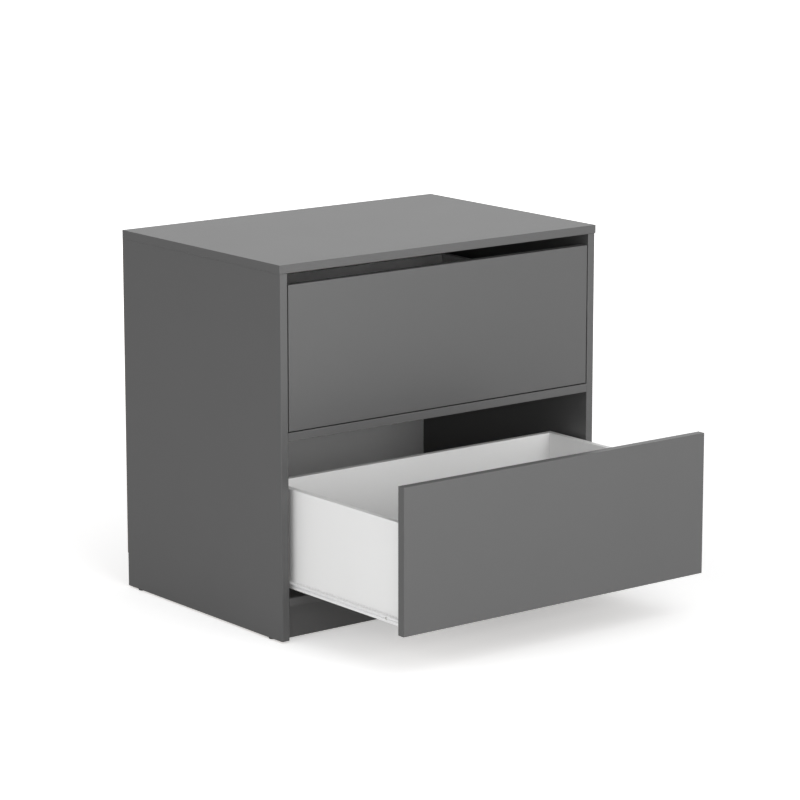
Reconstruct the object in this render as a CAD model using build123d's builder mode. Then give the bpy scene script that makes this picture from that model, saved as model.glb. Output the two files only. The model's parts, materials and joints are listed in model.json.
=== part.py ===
"""A low bedroom cabinet with two drawers, built of faced boards on roller runners.

Millimetres. X runs to the right, Y to the back and Z up. The lower drawer stands open. The
origin is on the floor, midway between the sides, and midway between its open front and the back.
"""

import os

from build123d import *

# Overall size, with both drawers shut
width = 740.0
depth = 505.0
height = 693.3

# Boards
board = 16.0
drawer_board = 12.0
thin_board = 3.0
edge_round = 1.0
drawer_edge_round = 0.8

# Carcass
top_overhang = 1.5
glide_height = 3.5
glide_radius = 7.0
glide_front_margin = 43.0
glide_rear_margin = 33.5
plinth_height = 63.0
plinth_setback = 16.5
rail_depth = 80.0
finger_gap = 21.4
front_gap = 2.0
back_inset = 1.0

# Drawer boxes
side_gap = 12.5
rear_space = 78.5
box_rise = 12.0
box_drop = 69.0
groove_rise = 10.0
groove_depth = 6.0
groove_play = 0.3
groove_slack = 0.2

# Roller runners: sheet steel, u runs inwards from the cabinet's side, z up from the box's underside
sheet = 1.0
bend = 0.9
runner_step = 50.0
runner_start = 3.0
runner_loss = 58.0
lip_height = 15.0
lip_reach = 2.5
lip_clear = 1.1
rib_foot = 5.8
rib_flank = 2.2
rib_crest = 0.6
rib_reach = 1.0
rib_break = 6.0
channel_clear = 1.3
channel_play = 0.4
channel_lip = 2.0
roller_radius = 10.0
roller_width = 5.2
roller_margin = 2.0
roller_gap = 0.3
roller_play = 0.2
axle_radius = 2.5
axle_play = 0.05
axle_head = 0.8
axle_clear = 0.4
axle_flange = 1.5
axle_tail_radius = 2.0
cabinet_shoulder = 1.8
stop_drop = 6.0
stop_rise = 8.0
stop_play = 0.4
standing_open = 10.0

# Fittings
hole_play = 0.05
hole_spare = 0.5
tip_ease = 0.8
head_ease = 0.5
cam_ease = 0.4
cam_slot_length = 1.1
cam_slot_width = 0.2
cam_slot_depth = 0.2
cam_play = 0.2
cam_neck = 0.55
cam_radius = 7.4
cam_height = 12.0
cam_setback = 24.0
small_cam_radius = 5.9
small_cam_height = 9.0
small_cam_setback = 20.0
bolt_radius = 3.3
small_bolt_radius = 2.8
thread_radius = 2.4
thread_length = 11.0
dowel_radius = 4.0
small_dowel_radius = 3.0
dowel_in_face = 9.5
dowel_in_edge = 20.0
nail_radius = 0.8
nail_length = 20.0
nail_head_radius = 1.7
nail_head = 0.6
nail_step = 150.0
nail_margin = 35.0
runner_screw_radius = 1.7
runner_screw_length = 12.0
runner_screw_head = 1.2
runner_screw_head_radius = 2.8
runner_screw_cross = 1.4
runner_screw_margin = 45.0
runner_screw_shift = 20.0
corner_screw_radius = 2.0
corner_screw_length = 38.0
corner_screw_head_radius = 4.0
corner_screw_cross = 1.7
cross_width = 0.5

# Where the fittings sit, from the board's front, rear, lower or upper edge
top_cam_line = 180.0
top_dowel_line = 60.0
shelf_cam_line = 60.0
shelf_dowel_line = 110.0
plinth_cam_line = 20.0
plinth_dowel_line = 45.0
rail_cam_line = 25.0
rail_dowel_line = 58.0
box_cam_line = 32.0
corner_screw_line = 30.0

# Front and back: how far the runners let the lower drawer stand open sets where the origin lies
left, right = -1, 1
box_length = depth - top_overhang - board - thin_board - rear_space
runner_length = runner_step * int(box_length // runner_step)
travel = runner_length - runner_loss
standing_reach = travel - standing_open
back_y = (depth - top_overhang + standing_reach) / 2
rear_y = back_y - thin_board
top_front_y = back_y - depth
front_y = top_front_y + top_overhang
front_back = front_y + board
box_rear = front_back + box_length

# Sides and levels that the sizes above fix
side_outer = width / 2 - top_overhang
side_inner = side_outer - board
box_outer = side_inner - side_gap
box_inner = box_outer - drawer_board
top_under = height - board
shelf_bottom = glide_height + plinth_height
shelf_top = shelf_bottom + board
front_height = (top_under - shelf_top - board) / 2 - front_gap - finger_gap
rail_bottom = shelf_top + front_gap + front_height + finger_gap
rail_top = rail_bottom + board

# Runner, shut: the cabinet's member starts behind the front, the drawer's member at the front
roller_inset = roller_radius + roller_margin
channel_reach = side_gap - sheet - channel_clear
channel_height = 2 * (roller_radius + sheet) + roller_gap + channel_play
channel_drop = channel_height + lip_clear - (lip_height - sheet)
member_front = front_back + runner_start
front_roller_y = member_front + roller_inset
rear_roller_y = front_back + sheet + runner_length - roller_inset
front_roller_z = lip_height - sheet - roller_gap - roller_radius
rear_roller_z = -channel_drop + sheet + roller_gap + roller_radius
screw_height = (lip_height - sheet) / 2

drawers = {
    "upper": {"floor": rail_top + front_gap, "open": 0.0},
    "lower": {"floor": shelf_top + front_gap, "open": standing_reach},
}


def slab(x, y, z):
    """A board of the part in hand, from its low and high value along each axis."""
    with Locations(((x[0] + x[1]) / 2, (y[0] + y[1]) / 2, (z[0] + z[1]) / 2)):
        Box(x[1] - x[0], y[1] - y[0], z[1] - z[0])


def cut(x, y, z):
    """A groove or slot of the part in hand, from its low and high value along each axis."""
    with Locations(((x[0] + x[1]) / 2, (y[0] + y[1]) / 2, (z[0] + z[1]) / 2)):
        Box(x[1] - x[0], y[1] - y[0], z[1] - z[0], mode=Mode.SUBTRACT)


def drill(radius, length, places):
    """Blind holes in the part in hand, each running along its place's Z axis."""
    with Locations(*places):
        Cylinder(radius, length, align=(Align.CENTER, Align.CENTER, Align.MIN), mode=Mode.SUBTRACT)


def turned(profile):
    """A piece turned about Z, from its half profile of (radius, height) points."""
    with BuildPart() as piece:
        with BuildSketch(Plane.XZ):
            with BuildLine():
                Polyline(*profile, close=True)
            make_face()
        revolve(axis=Axis.Z)
    return piece.part


def mirrored_span(side, near, far):
    """The low and high X of something that runs from near to far on one side of the middle."""
    return sorted((side * near, side * far))


def save(piece, name):
    """Labels a finished piece and writes it."""
    piece.part.label = name
    export_step(piece.part, f"parts/{name}.step")


# Fittings. A joint is a place where a bolt or dowel crosses from a face board into an edge
# board: its origin is on the meeting faces, and its Z axis points into the edge board.


def joint(x, y, z, into):
    """A joint at a point, pointing into the edge board."""
    return Plane(origin=(x, y, z), z_dir=into)


def turned_back(place):
    """The same joint, seen from the edge board into the face board."""
    return Plane(origin=place.origin, z_dir=-place.z_dir)


def cam_place(place, from_face, setback, thickness):
    """Where the cam of a joint sits: its slotted face on the board, its body along from_face."""
    way = Vector(*from_face)
    origin = place.origin + place.z_dir * setback - way * (thickness / 2)
    return Plane(origin=origin, x_dir=place.z_dir, z_dir=way)


def cam_lock(radius, length, bolt_depth, shaft_radius):
    """A cam with its slotted face at the origin, and the bolt's way in along +X."""
    with BuildPart() as cam:
        with BuildSketch():
            Circle(radius)
        extrude(amount=length)
        chamfer(cam.edges().filter_by(GeomType.CIRCLE), cam_ease)
        with BuildSketch():
            Rectangle(radius * cam_slot_length, radius * cam_slot_width)
            Rectangle(radius * cam_slot_width, radius * cam_slot_length)
        extrude(amount=length * cam_slot_depth, mode=Mode.SUBTRACT)
        with BuildSketch(Plane.YZ):
            with Locations((0, bolt_depth)):
                Circle(shaft_radius * cam_neck + cam_play)
        extrude(amount=-radius, mode=Mode.SUBTRACT)
        with BuildSketch(Plane.YZ):
            with Locations((0, bolt_depth)):
                Circle(shaft_radius + cam_play)
        extrude(amount=-radius / 2, mode=Mode.SUBTRACT)
    return cam.part


def cam_bolt(shaft_radius, setback, radius):
    """A cam bolt along Z: its thread below the joint, its shaft and ball end above."""
    neck = shaft_radius * cam_neck
    shaft_end = setback - radius - cam_play
    head_start = setback - radius / 2 + cam_play
    head_end = setback - cam_play
    profile = [
        (0, -thread_length),
        (thread_radius - tip_ease, -thread_length),
        (thread_radius, -thread_length + tip_ease),
        (thread_radius, 0),
        (shaft_radius, 0),
        (shaft_radius, shaft_end),
        (neck, shaft_end),
        (neck, head_start),
        (shaft_radius - cam_play, head_start),
        (shaft_radius - cam_play, head_end),
        (0, head_end),
    ]
    return turned(profile)


def dowel(radius, in_face, in_edge):
    """A dowel along Z across its joint, with eased ends."""
    return turned(
        [
            (0, -in_face),
            (radius - tip_ease, -in_face),
            (radius, -in_face + tip_ease),
            (radius, in_edge - tip_ease),
            (radius - tip_ease, in_edge),
            (0, in_edge),
        ]
    )


def flat_head_screw(radius, length, head_radius, head):
    """A screw along +Z under a low round head that stands above its face."""
    return turned(
        [
            (0, -head),
            (head_radius - head_ease, -head),
            (head_radius, -head + head_ease),
            (head_radius, 0),
            (radius, 0),
            (radius, length - radius * 2),
            (0, length),
        ]
    )


def sunk_head_screw(radius, length, head_radius):
    """A screw along +Z with its head sunk flush with the face."""
    return turned(
        [
            (0, 0),
            (head_radius, 0),
            (radius, head_radius - radius),
            (radius, length - radius * 2),
            (0, length),
        ]
    )


def crossed(screw, top, reach):
    """A screw with a cross cut into its head, as wide and deep as its reach from the middle."""
    with BuildPart() as piece:
        add(screw)
        with BuildSketch(Plane.XY.offset(top)):
            Rectangle(2 * reach, reach * cross_width)
            Rectangle(reach * cross_width, 2 * reach)
        extrude(amount=reach, mode=Mode.SUBTRACT)
    return piece.part


big_cam = cam_lock(cam_radius, cam_height, board / 2, bolt_radius)
small_cam = cam_lock(small_cam_radius, small_cam_height, drawer_board / 2, small_bolt_radius)
big_bolt = cam_bolt(bolt_radius, cam_setback, cam_radius)
small_bolt = cam_bolt(small_bolt_radius, small_cam_setback, small_cam_radius)
big_dowel = dowel(dowel_radius, dowel_in_face, dowel_in_edge)
small_dowel = dowel(small_dowel_radius, dowel_in_face, dowel_in_edge)
runner_screw = crossed(
    flat_head_screw(
        runner_screw_radius, runner_screw_length, runner_screw_head_radius, runner_screw_head
    ),
    -runner_screw_head,
    runner_screw_cross,
)
back_nail = flat_head_screw(nail_radius, nail_length, nail_head_radius, nail_head)
corner_screw = crossed(
    sunk_head_screw(corner_screw_radius, corner_screw_length, corner_screw_head_radius),
    0,
    corner_screw_cross,
)


def face_holes(joints, pegs, peg_radius):
    """Holes in a face board: threads for its bolts and blind holes for its dowels."""
    drill(thread_radius + hole_play, thread_length + hole_spare, [turned_back(j) for j in joints])
    drill(peg_radius + hole_play, dowel_in_face + hole_spare, [turned_back(j) for j in pegs])


def edge_holes(joints, cams, pegs, peg_radius, shaft_radius, setback, cam_r, cam_h):
    """Holes in an edge board: shafts and dowels into its edge, and cams into its face."""
    drill(shaft_radius + hole_play, setback, joints)
    drill(cam_r + hole_play, cam_h + hole_spare, cams)
    drill(peg_radius + hole_play, dowel_in_edge + hole_spare, pegs)


def big_edge_holes(joints, cams, pegs):
    """Edge holes of the carcass's boards."""
    edge_holes(
        joints, cams, pegs, dowel_radius, bolt_radius, cam_setback, cam_radius, cam_height
    )


# Where the carcass is joined, on the side that is given

side_middle = (side_outer + side_inner) / 2
shelf_middle = (shelf_bottom + shelf_top) / 2
rail_middle = (rail_bottom + rail_top) / 2
plinth_front = front_y + plinth_setback
plinth_back = plinth_front + board
plinth_middle = (plinth_front + plinth_back) / 2


def top_joints(side, inset):
    """Joints down from the top into one side's upper edge."""
    return [
        joint(side * side_middle, y, top_under, (0, 0, -1))
        for y in (front_y + inset, rear_y - inset)
    ]


def shelf_joints(side, inset):
    """Joints from one side into the bottom shelf's end."""
    return [
        joint(side * side_inner, y, shelf_middle, (-side, 0, 0))
        for y in (front_y + inset, rear_y - inset)
    ]


def rail_joint(side, inset):
    """A joint from one side into the middle rail's end."""
    return [joint(side * side_inner, front_y + inset, rail_middle, (-side, 0, 0))]


def plinth_joint(side, inset):
    """A joint from one side into the plinth's end."""
    return [joint(side * side_inner, plinth_middle, glide_height + inset, (-side, 0, 0))]


def cams_of(joints, from_face):
    """The places of the carcass cams that hold these joints."""
    return [cam_place(j, from_face, cam_setback, board) for j in joints]


def across_joints(side):
    """Every bolt joint from one side into the boards between the sides."""
    return (
        shelf_joints(side, shelf_cam_line) + rail_joint(side, rail_cam_line)
        + plinth_joint(side, plinth_cam_line)
    )


def across_dowels(side):
    """Every dowel joint from one side into the boards between the sides."""
    return (
        shelf_joints(side, shelf_dowel_line) + rail_joint(side, rail_dowel_line)
        + plinth_joint(side, plinth_dowel_line)
    )


def carcass_cams(side):
    """The places of every carcass cam on one side."""
    return (
        cams_of(top_joints(side, top_cam_line), (side, 0, 0))
        + cams_of(shelf_joints(side, shelf_cam_line), (0, 0, 1))
        + cams_of(rail_joint(side, rail_cam_line), (0, 0, 1))
        + cams_of(plinth_joint(side, plinth_cam_line), (0, -1, 0))
    )


def spread(low, high, step):
    """Evenly spaced values from low to high, at most a step apart."""
    spaces = int((high - low) // step) + 1
    return [low + (high - low) * i / spaces for i in range(spaces + 1)]


def nail_places():
    """The back's nails: up each side, along the top and along the shelf."""
    points = []
    for z in spread(shelf_bottom + nail_margin, height - nail_margin, nail_step):
        points += [(side * side_middle, z) for side in (left, right)]
    for x in spread(-side_inner + nail_margin, side_inner - nail_margin, nail_step):
        points += [(x, z) for z in (shelf_middle, height - board / 2)]
    return [Plane(origin=(x, back_y, z), z_dir=(0, -1, 0)) for x, z in points]


def glide_places():
    """The glides under the ends of both sides."""
    return [
        Plane(origin=(side * side_middle, y, 0), z_dir=(0, 0, 1))
        for side in (left, right)
        for y in (front_y + glide_front_margin, rear_y - glide_rear_margin)
    ]


def member_spots(y_start):
    """How far back a runner member's front, middle and rear screws lie."""
    first = y_start + runner_screw_margin
    last = y_start + runner_length - runner_screw_margin
    return first, (first + last) / 2 + runner_screw_shift, last


def cabinet_member_screws(side, floor):
    """The three screws of one runner member in the cabinet, driven outwards into its side."""
    x = side * (side_inner - sheet)
    z = floor + box_rise + rear_roller_z
    return [Plane(origin=(x, y, z), z_dir=(side, 0, 0)) for y in member_spots(member_front)]


def drawer_member_screws(side, floor, shift):
    """The two screws of one runner member on a drawer, driven inwards into its side."""
    x = side * (side_inner - side_gap + sheet)
    z = floor + box_rise + screw_height
    first, _, last = member_spots(front_back + sheet - shift)
    return [Plane(origin=(x, y, z), z_dir=(-side, 0, 0)) for y in (first, last)]


def cabinet_screws(side):
    """The screws of both runner members on one side of the cabinet."""
    return [
        place
        for drawer in drawers.values()
        for place in cabinet_member_screws(side, drawer["floor"])
    ]


def carcass():
    """The cabinet's boards."""
    nails = nail_places()

    with BuildPart() as top_panel:
        slab((-width / 2, width / 2), (top_front_y, rear_y), (top_under, height))
        fillet(top_panel.edges(), edge_round)
        for side in (left, right):
            pegs = top_joints(side, top_dowel_line)
            face_holes(top_joints(side, top_cam_line), pegs, dowel_radius)
        drill(nail_radius + hole_play, nail_length + hole_spare, nails)
    save(top_panel, "top_panel")

    for side, name in ((left, "left_side_panel"), (right, "right_side_panel")):
        with BuildPart() as side_panel:
            x = mirrored_span(side, side_inner, side_outer)
            slab(x, (front_y, rear_y), (glide_height, top_under))
            fillet(side_panel.faces().sort_by(Axis.Y)[0].edges(), edge_round)
            face_holes(across_joints(side), across_dowels(side), dowel_radius)
            joints = top_joints(side, top_cam_line)
            pegs = top_joints(side, top_dowel_line)
            big_edge_holes(joints, cams_of(joints, (side, 0, 0)), pegs)
            drill(runner_screw_radius + hole_play, runner_screw_length, cabinet_screws(side))
            drill(nail_radius + hole_play, nail_length + hole_spare, nails)
            drill(nail_radius + hole_play, nail_length, glide_places())
        save(side_panel, name)

    with BuildPart() as bottom_shelf:
        slab((-side_inner, side_inner), (front_y, rear_y), (shelf_bottom, shelf_top))
        fillet(bottom_shelf.faces().sort_by(Axis.Y)[0].edges().filter_by(Axis.X), edge_round)
        for side in (left, right):
            joints = shelf_joints(side, shelf_cam_line)
            pegs = shelf_joints(side, shelf_dowel_line)
            big_edge_holes(joints, cams_of(joints, (0, 0, 1)), pegs)
        drill(nail_radius + hole_play, nail_length + hole_spare, nails)
    save(bottom_shelf, "bottom_shelf")

    with BuildPart() as middle_rail:
        slab((-side_inner, side_inner), (front_y, front_y + rail_depth), (rail_bottom, rail_top))
        fillet(middle_rail.edges().filter_by(Axis.X), edge_round)
        for side in (left, right):
            joints = rail_joint(side, rail_cam_line)
            pegs = rail_joint(side, rail_dowel_line)
            big_edge_holes(joints, cams_of(joints, (0, 0, 1)), pegs)
    save(middle_rail, "middle_rail")

    with BuildPart() as plinth:
        slab((-side_inner, side_inner), (plinth_front, plinth_back), (glide_height, shelf_bottom))
        fillet(plinth.edges().filter_by(Axis.X).group_by(Axis.Z)[0], edge_round)
        for side in (left, right):
            joints = plinth_joint(side, plinth_cam_line)
            pegs = plinth_joint(side, plinth_dowel_line)
            big_edge_holes(joints, cams_of(joints, (0, -1, 0)), pegs)
    save(plinth, "plinth")

    with BuildPart() as back_panel:
        x = (-side_outer + back_inset, side_outer - back_inset)
        slab(x, (rear_y, back_y), (shelf_bottom + back_inset, height - back_inset))
        drill(nail_radius + hole_play, nail_length, nails)
    save(back_panel, "back_panel")


def carcass_fittings():
    """Cams, bolts, dowels, nails and glides of the cabinet."""
    with BuildPart() as cams:
        with Locations(*carcass_cams(left), *carcass_cams(right)):
            add(big_cam)
    save(cams, "carcass_cam_locks")

    with BuildPart() as bolts:
        for side in (left, right):
            with Locations(*top_joints(side, top_cam_line), *across_joints(side)):
                add(big_bolt)
    save(bolts, "carcass_cam_bolts")

    with BuildPart() as dowels:
        for side in (left, right):
            with Locations(*top_joints(side, top_dowel_line), *across_dowels(side)):
                add(big_dowel)
    save(dowels, "carcass_dowels")

    with BuildPart() as nails:
        with Locations(*nail_places()):
            add(back_nail)
    save(nails, "back_nails")

    glide = turned(
        [
            (0, 0),
            (glide_radius - tip_ease - head_ease, 0),
            (glide_radius - head_ease, tip_ease),
            (glide_radius, glide_height),
            (nail_radius, glide_height),
            (nail_radius, nail_length - 2 * nail_radius),
            (0, nail_length),
        ]
    )
    with BuildPart() as glides:
        with Locations(*glide_places()):
            add(glide)
    save(glides, "foot_glides")


def runner_section(side, floor, y, points):
    """A bent sheet's section at y, from its middle line of (u, z) points."""
    with BuildSketch(Plane.XZ.offset(-y)) as section:
        with BuildLine() as line:
            middle = [(side * (side_inner - u), floor + box_rise + z) for u, z in points]
            FilletPolyline(*middle, radius=bend)
        trace(line.line, line_width=sheet)
    return section.sketch


def rib_section(side, floor, y):
    """The section at y of the rib along the outer face of a drawer member's web."""
    seat = side_gap - sheet
    crest = seat - rib_reach
    crest_low = rib_foot + rib_flank
    crest_high = crest_low + rib_crest
    points = [
        (seat + sheet / 2, rib_foot),
        (seat, rib_foot),
        (crest, crest_low),
        (crest, crest_high),
        (seat, crest_high + rib_flank),
        (seat + sheet / 2, crest_high + rib_flank),
    ]
    with BuildSketch(Plane.XZ.offset(-y)) as section:
        Polygon(*[(side * (side_inner - u), floor + box_rise + z) for u, z in points], align=None)
    return section.sketch


def axle(shoulder):
    """A riveted axle: its tail in the sheet below Z=0, a shoulder, the roller's pin and a head."""
    pin_end = shoulder + roller_width + 2 * roller_play
    return turned(
        [
            (0, -sheet),
            (axle_tail_radius, -sheet),
            (axle_tail_radius, 0),
            (axle_radius + axle_flange, 0),
            (axle_radius + axle_flange, shoulder),
            (axle_radius, shoulder),
            (axle_radius, pin_end),
            (axle_radius + axle_flange, pin_end),
            (axle_radius + axle_flange / 2, pin_end + axle_head),
            (0, pin_end + axle_head),
        ]
    )


def roller(shoulder):
    """A nylon roller along Z, clear of the shoulder and head of its axle."""
    low = shoulder + roller_play
    high = low + roller_width
    bore = axle_radius + axle_play
    return turned(
        [
            (bore, low),
            (roller_radius - head_ease, low),
            (roller_radius, low + head_ease),
            (roller_radius, high - head_ease),
            (roller_radius - head_ease, high),
            (bore, high),
        ]
    )


drawer_head_u = sheet + runner_screw_head + axle_clear
drawer_shoulder = side_gap - sheet - drawer_head_u - axle_head - roller_width - 2 * roller_play
cabinet_axle = axle(cabinet_shoulder)
drawer_axle = axle(drawer_shoulder)
cabinet_roller = roller(cabinet_shoulder)
drawer_roller = roller(drawer_shoulder)


def cabinet_axle_place(side, floor):
    """The axle at the front of a cabinet member, pointing inwards."""
    point = (side * (side_inner - sheet), front_roller_y, floor + box_rise + front_roller_z)
    return Plane(origin=point, z_dir=(-side, 0, 0))


def drawer_axle_place(side, floor, shift):
    """The axle at the rear of a drawer member, pointing outwards."""
    x = side * (side_inner - side_gap + sheet)
    point = (x, rear_roller_y - shift, floor + box_rise + rear_roller_z)
    return Plane(origin=point, z_dir=(side, 0, 0))


def cabinet_member(side, floor):
    """A cabinet runner member: a channel with a stop at each end of the roller's run."""
    low = -channel_drop + sheet / 2
    high = low + channel_height - sheet
    base = floor + box_rise
    edge = channel_reach - sheet / 2
    web = sheet / 2
    points = [(edge, low + channel_lip), (edge, low), (web, low), (web, high), (edge, high)]
    x_edge = mirrored_span(side, side_inner - sheet, side_inner - channel_reach)
    flange = base + high - sheet / 2
    channel_floor = base + low + sheet / 2
    open_roller_y = rear_roller_y - travel
    drop_reach = (roller_radius**2 - (flange - stop_drop - base - rear_roller_z) ** 2) ** 0.5
    rise_reach = (roller_radius**2 - (channel_floor + stop_rise - base - rear_roller_z) ** 2) ** 0.5
    front_stop = open_roller_y - drop_reach - stop_play
    rear_stop = rear_roller_y + rise_reach + stop_play
    section = runner_section(side, floor, member_front, points)
    with BuildPart() as member:
        extrude(section, amount=-runner_length)
        roller_notch = (member_front, front_roller_y + roller_radius + roller_margin)
        cut(x_edge, roller_notch, (flange - sheet, base + high + sheet))
        slab(x_edge, (front_stop - sheet, front_stop), (flange - stop_drop, flange))
        slab(x_edge, (rear_stop, rear_stop + sheet), (channel_floor, channel_floor + stop_rise))
        drill(axle_tail_radius, sheet, [turned_back(cabinet_axle_place(side, floor))])
        with Locations(*cabinet_member_screws(side, floor)):
            Cylinder(runner_screw_radius + hole_play, 3 * sheet, mode=Mode.SUBTRACT)
    return member


def drawer_member(side, floor, shift):
    """A drawer runner member: a foot under the box's side, a web and a lip that rides a roller."""
    web = side_gap - sheet / 2
    points = [
        (side_gap + drawer_board, sheet / 2),
        (web, sheet / 2),
        (web, lip_height - sheet / 2),
        (lip_reach, lip_height - sheet / 2),
    ]
    y = front_back + sheet - shift
    base = floor + box_rise
    place = drawer_axle_place(side, floor, shift)
    x_web = mirrored_span(side, side_inner - side_gap, side_inner - side_gap + sheet)
    ear = (rear_roller_y - shift - roller_inset / 2, rear_roller_y - shift + roller_inset / 2)
    section = runner_section(side, floor, y, points)
    first, _, last = member_spots(y)
    ends = (y, first - rib_break, first + rib_break, last - rib_break, last + rib_break, y + runner_length)
    with BuildPart() as member:
        extrude(section, amount=-runner_length)
        for start, end in zip(ends[::2], ends[1::2]):
            extrude(rib_section(side, floor, start), amount=end - start, dir=(0, 1, 0))
        slab(x_web, ear, (base + rear_roller_z, base + lip_height / 2))
        with Locations(place):
            Cylinder(roller_inset / 2, sheet, align=(Align.CENTER, Align.CENTER, Align.MAX))
            Cylinder(axle_tail_radius, 3 * sheet, mode=Mode.SUBTRACT)
        with Locations(*drawer_member_screws(side, floor, shift)):
            Cylinder(runner_screw_radius + hole_play, 3 * sheet, mode=Mode.SUBTRACT)
    return member


def cabinet_runners():
    """The members, axles, rollers and screws that stay in the cabinet."""
    axle_places = []
    for drawer_name, drawer in drawers.items():
        for side, side_name in ((left, "left"), (right, "right")):
            place = cabinet_axle_place(side, drawer["floor"])
            axle_places.append(place)
            save(cabinet_member(side, drawer["floor"]), f"{drawer_name}_{side_name}_cabinet_runner")
            with BuildPart() as front_roller:
                with Locations(place):
                    add(cabinet_roller)
            save(front_roller, f"{drawer_name}_{side_name}_cabinet_roller")

    with BuildPart() as axles:
        with Locations(*axle_places):
            add(cabinet_axle)
    save(axles, "cabinet_roller_axles")

    with BuildPart() as screws:
        with Locations(*cabinet_screws(left), *cabinet_screws(right)):
            add(runner_screw)
    save(screws, "cabinet_runner_screws")


# Drawers


def drawer_box(name, floor, shift):
    """A drawer's boards, their fittings and its halves of the runners."""
    y_front = front_y - shift
    y_back = y_front + board
    y_rear = box_rear - shift
    base = floor + box_rise + sheet
    box_top = floor + front_height - box_drop
    groove = (base + groove_rise, base + groove_rise + thin_board + groove_slack)
    groove_x = box_inner + groove_depth
    middle_x = (box_inner + box_outer) / 2
    middle_z = (base + box_top) / 2
    rear_middle = y_rear - drawer_board / 2
    levels = (base + box_cam_line, box_top - box_cam_line)
    ends = (base + corner_screw_line, box_top - corner_screw_line)

    def front_joints(side):
        return [joint(side * middle_x, y_back, z, (0, 1, 0)) for z in levels]

    def front_peg(side):
        return [joint(side * middle_x, y_back, middle_z, (0, 1, 0))]

    def box_cams(side):
        joints = front_joints(side)
        return [cam_place(j, (side, 0, 0), small_cam_setback, drawer_board) for j in joints]

    def back_peg(side):
        return [joint(side * box_inner, rear_middle, middle_z, (-side, 0, 0))]

    def back_screws(side):
        return [
            Plane(origin=(side * box_outer, rear_middle, z), z_dir=(-side, 0, 0)) for z in ends
        ]

    def side_screws(side):
        return drawer_member_screws(side, floor, shift)

    with BuildPart() as front:
        half = side_inner - front_gap
        slab((-half, half), (y_front, y_back), (floor, floor + front_height))
        fillet(front.faces().sort_by(Axis.Y)[0].edges(), edge_round)
        cut((-groove_x, groove_x), (y_back - groove_depth, y_back), groove)
        for side in (left, right):
            face_holes(front_joints(side), front_peg(side), small_dowel_radius)
    save(front, f"{name}_drawer_front")

    for side, side_name in ((left, "left"), (right, "right")):
        with BuildPart() as box_side:
            slab(mirrored_span(side, box_inner, box_outer), (y_back, y_rear), (base, box_top))
            fillet(box_side.edges().filter_by(Axis.Y), drawer_edge_round)
            cut(mirrored_span(side, box_inner, groove_x), (y_back, y_rear - groove_depth), groove)
            edge_holes(
                front_joints(side),
                box_cams(side),
                front_peg(side),
                small_dowel_radius,
                small_bolt_radius,
                small_cam_setback,
                small_cam_radius,
                small_cam_height,
            )
            peg_holes = [turned_back(j) for j in back_peg(side)]
            drill(small_dowel_radius + hole_play, dowel_in_face + hole_spare, peg_holes)
            drill(runner_screw_radius + hole_play, runner_screw_length, side_screws(side))
            drill(corner_screw_radius + hole_play, drawer_board, back_screws(side))
            with Locations(*back_screws(side)):
                Cone(
                    corner_screw_head_radius + hole_play,
                    corner_screw_radius + hole_play,
                    corner_screw_head_radius - corner_screw_radius,
                    align=(Align.CENTER, Align.CENTER, Align.MIN),
                    mode=Mode.SUBTRACT,
                )
        save(box_side, f"{name}_drawer_{side_name}_side")
        save(drawer_member(side, floor, shift), f"{name}_{side_name}_drawer_runner")

    with BuildPart() as back:
        slab((-box_inner, box_inner), (y_rear - drawer_board, y_rear), (base, box_top))
        fillet(back.edges().filter_by(Axis.X).group_by(Axis.Z)[-1], drawer_edge_round)
        cut((-box_inner, box_inner), (y_rear - drawer_board, y_rear - groove_depth), groove)
        for side in (left, right):
            drill(small_dowel_radius + hole_play, dowel_in_edge + hole_spare, back_peg(side))
            drill(corner_screw_radius + hole_play, corner_screw_length, back_screws(side))
    save(back, f"{name}_drawer_back")

    with BuildPart() as bottom:
        x = groove_x - groove_play
        y = (y_back - groove_depth + groove_play, y_rear - groove_depth - groove_play)
        slab((-x, x), y, (groove[0], groove[0] + thin_board))
    save(bottom, f"{name}_drawer_bottom")

    drawer_fittings = {
        "cam_locks": (small_cam, box_cams),
        "cam_bolts": (small_bolt, front_joints),
        "corner_screws": (corner_screw, back_screws),
        "runner_screws": (runner_screw, side_screws),
    }
    for fitting_name, (fitting, places) in drawer_fittings.items():
        with BuildPart() as fittings:
            with Locations(*places(left), *places(right)):
                add(fitting)
        save(fittings, f"{name}_drawer_{fitting_name}")

    with BuildPart() as dowels:
        with Locations(*front_peg(left), *front_peg(right), *back_peg(left), *back_peg(right)):
            add(small_dowel)
    save(dowels, f"{name}_drawer_dowels")

    with BuildPart() as axles:
        with Locations(*[drawer_axle_place(side, floor, shift) for side in (left, right)]):
            add(drawer_axle)
    save(axles, f"{name}_drawer_roller_axles")

    for side, side_name in ((left, "left"), (right, "right")):
        with BuildPart() as rear_roller:
            with Locations(drawer_axle_place(side, floor, shift)):
                add(drawer_roller)
        save(rear_roller, f"{name}_{side_name}_drawer_roller")


os.makedirs("parts", exist_ok=True)
carcass()
carcass_fittings()
cabinet_runners()
for drawer_name, drawer in drawers.items():
    drawer_box(drawer_name, drawer["floor"], drawer["open"])
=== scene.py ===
"""Looks of the two-drawer nightstand: its materials, and a floor, soft light and a camera.

Metres, in the part's own frame: X to the right, Y to the back, Z up. Every visible piece is a
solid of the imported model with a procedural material, and a board's is laid out from its own box.
"""
import json
import math

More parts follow.
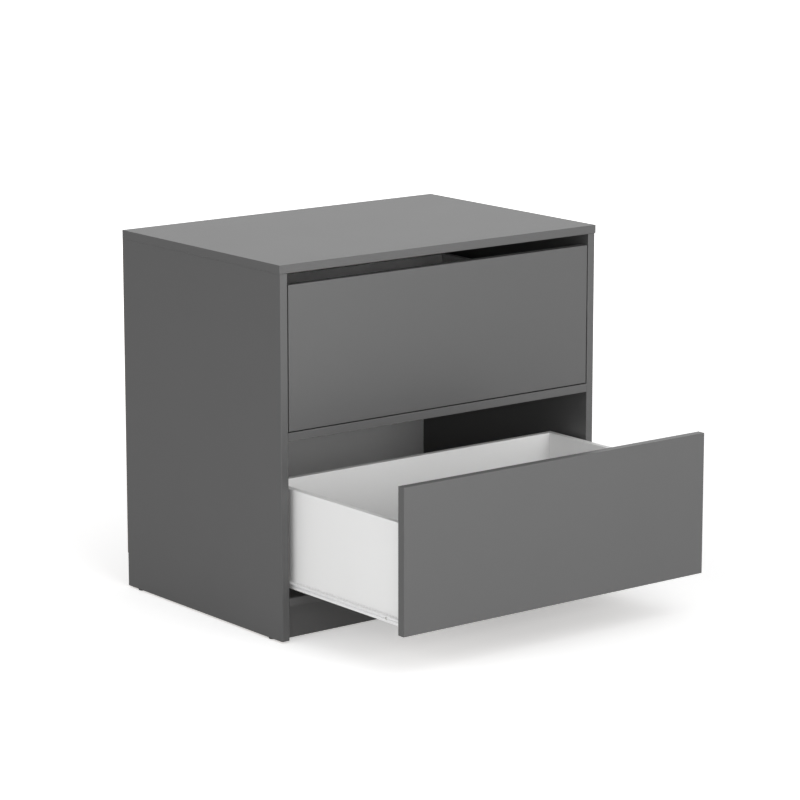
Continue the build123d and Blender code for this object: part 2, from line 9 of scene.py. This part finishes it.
import bpy
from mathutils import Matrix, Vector


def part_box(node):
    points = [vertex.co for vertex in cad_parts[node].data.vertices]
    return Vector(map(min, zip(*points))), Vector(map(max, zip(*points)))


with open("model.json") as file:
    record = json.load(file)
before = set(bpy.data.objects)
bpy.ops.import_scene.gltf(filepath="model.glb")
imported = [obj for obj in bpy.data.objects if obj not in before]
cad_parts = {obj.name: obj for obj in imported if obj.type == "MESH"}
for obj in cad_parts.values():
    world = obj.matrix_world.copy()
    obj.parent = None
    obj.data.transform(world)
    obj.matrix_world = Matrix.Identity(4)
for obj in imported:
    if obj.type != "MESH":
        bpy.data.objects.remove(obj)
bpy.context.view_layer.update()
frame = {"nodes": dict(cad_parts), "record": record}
mm = 0.001

# Camera: a long lens, from the front left and a little above
lens = 152.25
camera_turn = math.radians(38.02)
camera_tilt = math.radians(12.05)
camera_distance = 6.182
aim_x = -0.0996
aim_z = 0.4155
nearest_seen = 0.1
farthest_seen = 200.0

# Light: a weak sky, and soft boxes that all point at the middle of the object. A soft box has a
# name, a place, a width, a height and a power in watts.
sky_strength = 0.41
backdrop_strength = 1.0
soft_boxes = (
    ("front", (0.9, -4.4, 1.45), 0.8, 2.0, 31.0),
    ("broad_front", (0.3, -4.6, 1.2), 5.0, 2.2, 100.0),
    ("high_front", (0.3, -3.2, 3.4), 4.0, 2.5, 48.0),
    ("low_left", (-3.2, -3.4, 0.8), 2.2, 1.4, 22.0),
    ("left", (-4.6, -0.6, 1.8), 4.5, 3.2, 69.0),
)
lamp_aim = (0.0, 0.0, 0.35)

# Floor: only the camera sees its glow, which grows to full white away from the open drawer
floor_reach = 30.0
floor_colour = (0.92, 0.92, 0.92)
floor_glow = 0.36
glow_rises = (0.3, 3.2)
glow_centre = (0.3, -0.35, 0.0)

# Colours, as linear values
full_white = (1.0, 1.0, 1.0)
grey = (0.083, 0.083, 0.083)
white = (0.80, 0.80, 0.795)
pale_lacquer = (0.61, 0.61, 0.61)
enamel = (0.82, 0.82, 0.82)
nylon = (0.76, 0.75, 0.72)
black = (0.014, 0.014, 0.015)
zinc = (0.52, 0.53, 0.55)
steel = (0.66, 0.66, 0.64)
beech = (0.50, 0.31, 0.17)
chips_light = (0.42, 0.30, 0.19)
chips_dark = (0.16, 0.10, 0.06)
fibre = (0.148, 0.114, 0.085)

# Roughness
board_roughness = 0.36
lacquer_roughness = 0.5
bare_roughness = 0.85
zinc_roughness = 0.45
steel_roughness = 0.3

# The values that noise mostly keeps between
noise_spread = (0.3, 0.7)

# A board's face
cloud_size = 140 * mm
speck_size = 0.45 * mm
speck_swing = 0.035
pearl_size = 0.9 * mm
emboss_depth = 0.012 * mm

# A board's edges: the seam of its band, as far from the edge as the band is thick, and a painted
# highlight, a lighter strip along each edge
band_seam = 0.8 * mm
seam_width = 0.12 * mm
seam_loss = 0.16
edge_highlight_width = 0.7 * mm
edge_highlight_gain = 0.06

# A board's core shows below its skin, on cut faces, and not in the thickness of the front band
skin = 0.35 * mm
cut_skin = 0.08 * mm
band_depth = 1.2 * mm
chip_size = 1.6 * mm
chip_relief = 0.25 * mm
splinter_size = 0.5 * mm

# Hardboard
fibre_size = 2.5 * mm
fleck_size = 0.6 * mm
screen_size = 1.1 * mm
screen_relief = 0.06 * mm

# Enamel, and the crease pressed along the foot of the rib on a drawer's runner, below its lip
haze_size = 30 * mm
peel_size = 2.2 * mm
peel_depth = 0.02 * mm
dust_size = 0.5 * mm
crease_drop = 9.2 * mm
crease_half = 2.2 * mm
crease_depth = 0.9 * mm

# Plastics
scuff_size = 0.8 * mm
scuff_depth = 0.01 * mm
nylon_glow_reach = (3.0 * mm, 3.0 * mm, 2.5 * mm)
moulded_grain = 0.35 * mm
moulded_depth = 0.03 * mm
moulded_cloud = 6 * mm

# Metal
blotch_size = 3 * mm
scratch_size = 0.25 * mm
cast_grain = 0.5 * mm
metal_relief = 0.02 * mm

# Beech
grain_size = 0.7 * mm
ray_size = 1.2 * mm
grain_depth = 0.05 * mm


class Shader:
    """A material in the making: its node tree, and short calls that add nodes to it."""

    def __init__(self, name):
        self.material = bpy.data.materials.new(name)
        self.material.use_nodes = True
        self.tree = self.material.node_tree
        self.surface = self.tree.nodes["Principled BSDF"]
        self.place = self.add("ShaderNodeTexCoord").outputs["Object"]

    def add(self, kind, **settings):
        """Adds a node with the given settings."""
        added = self.tree.nodes.new(kind)
        for key, value in settings.items():
            setattr(added, key, value)
        return added

    def feed(self, socket, value):
        """Links an output to a socket, or sets the socket's own value."""
        if isinstance(value, bpy.types.NodeSocket):
            self.tree.links.new(value, socket)
        elif isinstance(value, tuple) and socket.type == "RGBA":
            socket.default_value = (*value, 1.0)
        else:
            socket.default_value = value

    def math(self, operation, *values):
        """One operation on one or two values."""
        added = self.add("ShaderNodeMath", operation=operation)
        for socket, value in zip(added.inputs, values):
            self.feed(socket, value)
        return added.outputs[0]

    def split(self, vector):
        """A vector's three values."""
        added = self.add("ShaderNodeSeparateXYZ")
        self.feed(added.inputs[0], vector)
        return list(added.outputs)

    def stretch(self, scale):
        """The place in the part, scaled along each axis."""
        added = self.add("ShaderNodeVectorMath", operation="MULTIPLY")
        self.feed(added.inputs[0], self.place)
        self.feed(added.inputs[1], scale)
        return added.outputs[0]

    def noise(self, size, detail=2.0, place=None, roughness=0.5):
        """Noise from 0 to 1 whose features are about size metres across."""
        added = self.add("ShaderNodeTexNoise")
        self.feed(added.inputs["Vector"], self.place if place is None else place)
        self.feed(added.inputs["Scale"], 1 / size)
        self.feed(added.inputs["Detail"], detail)
        self.feed(added.inputs["Roughness"], roughness)
        return added.outputs["Fac"]

    def cells(self, size, output="Distance", feature="F1", place=None):
        """Cells about size metres across."""
        added = self.add("ShaderNodeTexVoronoi", feature=feature)
        self.feed(added.inputs["Vector"], self.place if place is None else place)
        self.feed(added.inputs["Scale"], 1 / size)
        return added.outputs[output]

    def span(self, value, low, high, to_low=0.0, to_high=1.0):
        """A value carried from one range to another, held at both ends."""
        added = self.add("ShaderNodeMapRange")
        for socket, given in zip(added.inputs, (value, low, high, to_low, to_high)):
            self.feed(socket, given)
        return added.outputs[0]

    def vary(self, noise, to_low, to_high):
        """Noise carried from its usual spread to the given range."""
        return self.span(noise, *noise_spread, to_low, to_high)

    def mix(self, share, first, second, blend="MIX"):
        """Two colours mixed by a share."""
        added = self.add("ShaderNodeMix", data_type="RGBA", blend_type=blend)
        return self.fill_mix(added, "RGBA", share, first, second)

    def mix_vectors(self, share, first, second):
        """Two vectors mixed by a share."""
        added = self.add("ShaderNodeMix", data_type="VECTOR")
        return self.fill_mix(added, "VECTOR", share, first, second)

    def fill_mix(self, added, kind, share, first, second):
        """Feeds a mix node through its sockets of one kind, leaving out those that are off."""
        self.feed(added.inputs["Factor"], share)
        sockets = [socket for socket in added.inputs if socket.type == kind and socket.enabled]
        self.feed(sockets[0], first)
        self.feed(sockets[1], second)
        return next(socket for socket in added.outputs if socket.type == kind)

    def tint(self, colour, value):
        """A colour made lighter or darker by a value around 1."""
        shade = self.add("ShaderNodeCombineColor")
        for socket in shade.inputs:
            self.feed(socket, value)
        return self.mix(1.0, colour, shade.outputs[0], "MULTIPLY")

    def bump(self, height, depth, normal=None):
        """A bumped normal, from a height of 0 to 1 and its depth in metres."""
        added = self.add("ShaderNodeBump")
        self.feed(added.inputs["Distance"], depth)
        self.feed(added.inputs["Height"], height)
        if normal is not None:
            self.feed(added.inputs["Normal"], normal)
        return added.outputs[0]

    def finish(self, **sockets):
        """Sets the surface's sockets, named with underscores for spaces."""
        for key, value in sockets.items():
            self.feed(self.surface.inputs[key.replace("_", " ")], value)
        return self.material


def box_depths(shader, low, high):
    """How far a point lies inside a board's box along each axis, from the nearer face."""
    depths = []
    for value, start, end in zip(shader.split(shader.place), low, high):
        from_start = shader.math("SUBTRACT", value, start)
        from_end = shader.math("SUBTRACT", end, value)
        depths.append(shader.math("MINIMUM", from_start, from_end))
    return depths


def depth_order(shader, depths):
    """The smallest and the second smallest of three depths: below the skin, and from the edge."""
    x, y, z = depths
    least_xy = shader.math("MINIMUM", x, y)
    most_xy = shader.math("MAXIMUM", x, y)
    least = shader.math("MINIMUM", least_xy, z)
    second = shader.math("MAXIMUM", least_xy, shader.math("MINIMUM", most_xy, z))
    return least, second


def chipboard(shader):
    """The colour and height of bare particle board."""
    chip = shader.split(shader.cells(chip_size, "Color"))[0]
    splinter = shader.noise(splinter_size, 3.0)
    colour = shader.mix(chip, chips_dark, chips_light)
    height = shader.math(
        "ADD",
        shader.math("MULTIPLY", chip, 0.7),
        shader.math("MULTIPLY", splinter, 0.3),
    )
    return shader.tint(colour, shader.vary(splinter, 0.75, 1.2)), height


def bare_share(shader, low, high, least, uncovered):
    """Where a board shows its core: inside its holes and grooves, and on its uncovered faces."""
    values = shader.split(shader.place)
    share = 0.0
    for side, axis_name in uncovered:
        axis = "xyz".index(axis_name)
        ends = (high[axis], values[axis]) if side == "+" else (values[axis], low[axis])
        away = shader.math("SUBTRACT", *ends)
        share = shader.math("MAXIMUM", share, shader.span(away, cut_skin, 0.5 * cut_skin))
    if "-y" not in uncovered:
        from_front = shader.math("SUBTRACT", values[1], low[1])
        behind_band = shader.span(from_front, band_depth, 1.1 * band_depth)
        share = shader.math("MULTIPLY", share, behind_band)
    return shader.math("MAXIMUM", share, shader.span(least, skin, 2 * skin))


def faced_board(name, node, colour, uncovered=(), grain=1.0, banded=True):
    """Melamine or foil on particle board: a fine emboss, edge bands, a painted highlight along its
    edges, and a bare core.
    """
    shader = Shader(name)
    low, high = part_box(node)
    least, edge = depth_order(shader, box_depths(shader, low, high))
    bare = bare_share(shader, low, high, least, uncovered)
    core, core_height = chipboard(shader)
    cloud = shader.noise(cloud_size, 3.0)
    speck = shader.noise(speck_size, 2.0)
    pearl = shader.cells(pearl_size, feature="SMOOTH_F1")

    value = shader.math(
        "ADD",
        shader.vary(cloud, 0.993, 1.007),
        shader.vary(speck, -speck_swing * grain, speck_swing * grain),
    )
    # Painted highlight: the colour is made lighter in a thin strip along every edge, where a rounded
    # edge would catch the light
    highlit_edge = shader.span(edge, edge_highlight_width, 0.0)
    value = shader.math("ADD", value, shader.math("MULTIPLY", highlit_edge, edge_highlight_gain))
    if banded:
        off_seam = shader.math("ABSOLUTE", shader.math("SUBTRACT", edge, band_seam))
        seam = shader.span(off_seam, seam_width, 0.3 * seam_width)
        value = shader.math("SUBTRACT", value, shader.math("MULTIPLY", seam, seam_loss))

    roughness = shader.math(
        "ADD",
        shader.vary(cloud, board_roughness - 0.004, board_roughness + 0.004),
        shader.vary(speck, -0.03, 0.03),
    )
    emboss = shader.math("ADD", pearl, shader.math("MULTIPLY", speck, 0.4))
    skin_normal = shader.bump(emboss, emboss_depth * grain)
    core_normal = shader.bump(core_height, chip_relief)
    return shader.finish(
        Base_Color=shader.mix(bare, shader.tint(colour, value), core),
        Roughness=shader.math("MAXIMUM", roughness, shader.math("MULTIPLY", bare, bare_roughness)),
        Normal=shader.mix_vectors(bare, skin_normal, core_normal),
    )


def hardboard(name, node, colour, bare_face):
    """Thin fibreboard, lacquered on one face and bare brown with a screen pattern on the other."""
    shader = Shader(name)
    low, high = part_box(node)
    side, axis_name = bare_face
    axis = "xyz".index(axis_name)
    middle = (low[axis] + high[axis]) / 2
    past = shader.math("SUBTRACT", shader.split(shader.place)[axis], middle)
    if side == "-":
        past = shader.math("MULTIPLY", past, -1.0)
    bare = shader.span(past, 0.0, 0.2 * mm)
    fibres = shader.noise(fibre_size, 5.0, roughness=0.65)
    flecks = shader.noise(fleck_size, 3.0)
    screen = shader.cells(screen_size)
    browns = shader.math("ADD", shader.vary(fibres, 0.72, 1.25), shader.vary(flecks, -0.2, 0.2))
    lacquer = shader.tint(colour, shader.vary(flecks, 0.97, 1.03))
    height = shader.math(
        "ADD",
        shader.math("MULTIPLY", screen, bare),
        shader.math("MULTIPLY", flecks, 0.3),
    )
    return shader.finish(
        Base_Color=shader.mix(bare, lacquer, shader.tint(fibre, browns)),
        Roughness=shader.span(bare, 0.0, 1.0, lacquer_roughness, bare_roughness),
        Normal=shader.bump(height, screen_relief),
    )


def enamelled_steel(name, lip=None):
    """Glossy white powder enamel with a faint orange peel, and a pressed crease below a lip."""
    shader = Shader(name)
    haze = shader.noise(haze_size)
    dust = shader.noise(dust_size, 2.0)
    normal = shader.bump(shader.noise(peel_size, 1.0), peel_depth)
    if lip is not None:
        rise = shader.math("SUBTRACT", shader.split(shader.place)[2], lip - crease_drop)
        creased = shader.span(shader.math("ABSOLUTE", rise), 0.0, crease_half)
        creased.node.interpolation_type = "SMOOTHSTEP"
        normal = shader.bump(creased, crease_depth, normal)
    return shader.finish(
        Base_Color=shader.tint(enamel, shader.vary(haze, 0.98, 1.01)),
        Roughness=shader.vary(dust, 0.24, 0.34),
        Normal=normal,
    )


def roller_nylon(name):
    """Moulded off-white nylon, a little translucent, with a scuffed tread."""
    shader = Shader(name)
    scuff = shader.noise(scuff_size, 4.0)
    return shader.finish(
        Base_Color=shader.tint(nylon, shader.vary(scuff, 0.94, 1.03)),
        Roughness=shader.vary(scuff, 0.32, 0.45),
        Subsurface_Weight=0.2,
        Subsurface_Radius=nylon_glow_reach,
        Subsurface_Scale=1.0,
        Normal=shader.bump(scuff, scuff_depth),
    )


def moulded_black(name):
    """Textured black plastic."""
    shader = Shader(name)
    grain = shader.noise(moulded_grain, 2.0)
    return shader.finish(
        Base_Color=shader.tint(black, shader.vary(shader.noise(moulded_cloud), 0.85, 1.25)),
        Roughness=shader.vary(grain, 0.42, 0.6),
        Normal=shader.bump(grain, moulded_depth),
    )


def metal(name, colour, rough, cast):
    """Bare or plated metal: fine scratches, and a cast skin where cast is above 0."""
    shader = Shader(name)
    blotch = shader.noise(blotch_size, 3.0)
    scratch = shader.noise(scratch_size, 3.0, shader.stretch((0.15, 1.0, 1.0)))
    cast_skin = shader.noise(cast_grain, 3.0)
    height = shader.math(
        "ADD",
        shader.math("MULTIPLY", cast_skin, cast),
        shader.math("MULTIPLY", scratch, 0.2),
    )
    roughness = shader.math(
        "ADD",
        shader.vary(blotch, rough - 0.05, rough + 0.06),
        shader.vary(scratch, 0.0, 0.06),
    )
    return shader.finish(
        Base_Color=shader.tint(colour, shader.vary(blotch, 0.88, 1.08)),
        Metallic=1.0,
        Roughness=roughness,
        Normal=shader.bump(height, metal_relief),
    )


def dowel_beech(name):
    """Beech whose fine grain and rays are drawn out along X and Z, the ways that the dowels lie."""
    shader = Shader(name)
    grain = shader.noise(grain_size, 4.0, shader.stretch((0.2, 1.0, 0.2)))
    rays = shader.cells(ray_size, place=shader.stretch((0.3, 1.0, 0.3)))
    value = shader.math("ADD", shader.vary(grain, 0.8, 1.15), shader.span(rays, 0.0, 0.15, -0.12, 0.0))
    return shader.finish(
        Base_Color=shader.tint(beech, value),
        Roughness=shader.vary(grain, 0.55, 0.7),
        Normal=shader.bump(grain, grain_depth),
    )


# The faces of each board that no edge band or foil covers
uncovered_faces = {
    "top_panel": ("+y",),
    "left_side_panel": ("-z", "+z", "+y"),
    "right_side_panel": ("-z", "+z", "+y"),
    "bottom_shelf": ("-x", "+x", "+y"),
    "middle_rail": ("-x", "+x", "+y"),
    "plinth": ("-x", "+x", "-z", "+z"),
}
for drawer in ("upper", "lower"):
    uncovered_faces[f"{drawer}_drawer_left_side"] = ("-y", "+y")
    uncovered_faces[f"{drawer}_drawer_right_side"] = ("-y", "+y")
    uncovered_faces[f"{drawer}_drawer_back"] = ("-x", "+x")


def slot_material(node, slot, shared):
    """The material of one node: boards and drawer runners get their own, and the rest share."""
    uncovered = uncovered_faces.get(node, ())
    if slot == "grey_melamine":
        return faced_board(f"{node}_melamine", node, grey, uncovered)
    if slot == "white_foil":
        return faced_board(f"{node}_foil", node, white, uncovered, grain=0.5, banded=False)
    if node == "back_panel":
        return hardboard(f"{node}_lacquer", node, pale_lacquer, "+y")
    if slot == "white_hardboard":
        return hardboard(f"{node}_lacquer", node, white, "-z")
    if node.endswith("_drawer_runner"):
        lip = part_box(node)[1].z
        return enamelled_steel(f"{node}_enamel", lip)
    return shared[slot]


def dress_nodes():
    """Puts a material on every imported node."""
    shared = {
        "white_enamel": enamelled_steel("white_enamel"),
        "nylon": roller_nylon("nylon"),
        "black_plastic": moulded_black("black_plastic"),
        "zinc": metal("zinc", zinc, zinc_roughness, cast=1.0),
        "plated_steel": metal("plated_steel", steel, steel_roughness, cast=0.0),
        "beech": dowel_beech("beech"),
    }
    slots = {part["node"]: part["material_slot"] for part in frame["record"]["subparts"]}
    for name, piece in frame["nodes"].items():
        material = slot_material(name, slots[name], shared)
        piece.data.materials.clear()
        piece.data.materials.append(material)


def make_floor():
    """A white floor that shows the object's shadow."""
    mesh = bpy.data.meshes.new("floor")
    ways = ((-1, -1), (1, -1), (1, 1), (-1, 1))
    corners = [(across * floor_reach, along * floor_reach, 0.0) for across, along in ways]
    mesh.from_pydata(corners, [], [(0, 1, 2, 3)])
    floor = bpy.data.objects.new("floor", mesh)
    bpy.context.scene.collection.objects.link(floor)
    shader = Shader("floor")
    seen = shader.add("ShaderNodeLightPath").outputs["Is Camera Ray"]
    away = shader.add("ShaderNodeVectorMath", operation="DISTANCE")
    shader.feed(away.inputs[0], shader.place)
    shader.feed(away.inputs[1], glow_centre)
    glow = shader.span(away.outputs["Value"], *glow_rises, floor_glow, 1.0)
    material = shader.finish(
        Base_Color=floor_colour,
        Roughness=1.0,
        Specular_IOR_Level=0.0,
        Emission_Color=full_white,
        Emission_Strength=shader.math("MULTIPLY", seen, glow),
    )
    mesh.materials.append(material)


def make_world():
    """Soft light from all round, in front of a white backdrop."""
    world = bpy.data.worlds.new("studio")
    bpy.context.scene.world = world
    world.use_nodes = True
    tree = world.node_tree
    background = tree.nodes["Background"]
    background.inputs["Color"].default_value = (*full_white, 1.0)
    path = tree.nodes.new("ShaderNodeLightPath")
    seen = path.outputs["Is Camera Ray"]
    for output in ("Is Glossy Ray", "Is Transmission Ray"):
        either = tree.nodes.new("ShaderNodeMath")
        either.operation = "MAXIMUM"
        tree.links.new(seen, either.inputs[0])
        tree.links.new(path.outputs[output], either.inputs[1])
        seen = either.outputs[0]
    strength = tree.nodes.new("ShaderNodeMapRange")
    strength.inputs["To Min"].default_value = sky_strength
    strength.inputs["To Max"].default_value = backdrop_strength
    tree.links.new(seen, strength.inputs["Value"])
    tree.links.new(strength.outputs[0], background.inputs["Strength"])


def make_lamps():
    """The soft boxes."""
    for name, place, wide, high, power in soft_boxes:
        data = bpy.data.lights.new(name, "AREA")
        data.shape = "RECTANGLE"
        data.size = wide
        data.size_y = high
        data.energy = power
        lamp = bpy.data.objects.new(name, data)
        lamp.location = place
        lamp.rotation_mode = "QUATERNION"
        lamp.rotation_quaternion = (Vector(lamp_aim) - lamp.location).to_track_quat("-Z", "Y")
        bpy.context.scene.collection.objects.link(lamp)


def make_camera():
    """The camera, aimed at a point on the plane of the shut front."""
    front_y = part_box("upper_drawer_front")[0].y
    aim = Vector((aim_x, front_y, aim_z))
    forward = Vector((
        math.sin(camera_turn) * math.cos(camera_tilt),
        math.cos(camera_turn) * math.cos(camera_tilt),
        -math.sin(camera_tilt),
    ))
    data = bpy.data.cameras.new("camera")
    data.lens = lens
    data.clip_start = nearest_seen
    data.clip_end = farthest_seen
    camera = bpy.data.objects.new("camera", data)
    camera.location = aim - forward * camera_distance
    camera.rotation_mode = "QUATERNION"
    camera.rotation_quaternion = forward.to_track_quat("-Z", "Y")
    bpy.context.scene.collection.objects.link(camera)
    bpy.context.scene.camera = camera


dress_nodes()
make_floor()
make_world()
make_lamps()
make_camera()
bpy.context.scene.view_settings.view_transform = "Standard"
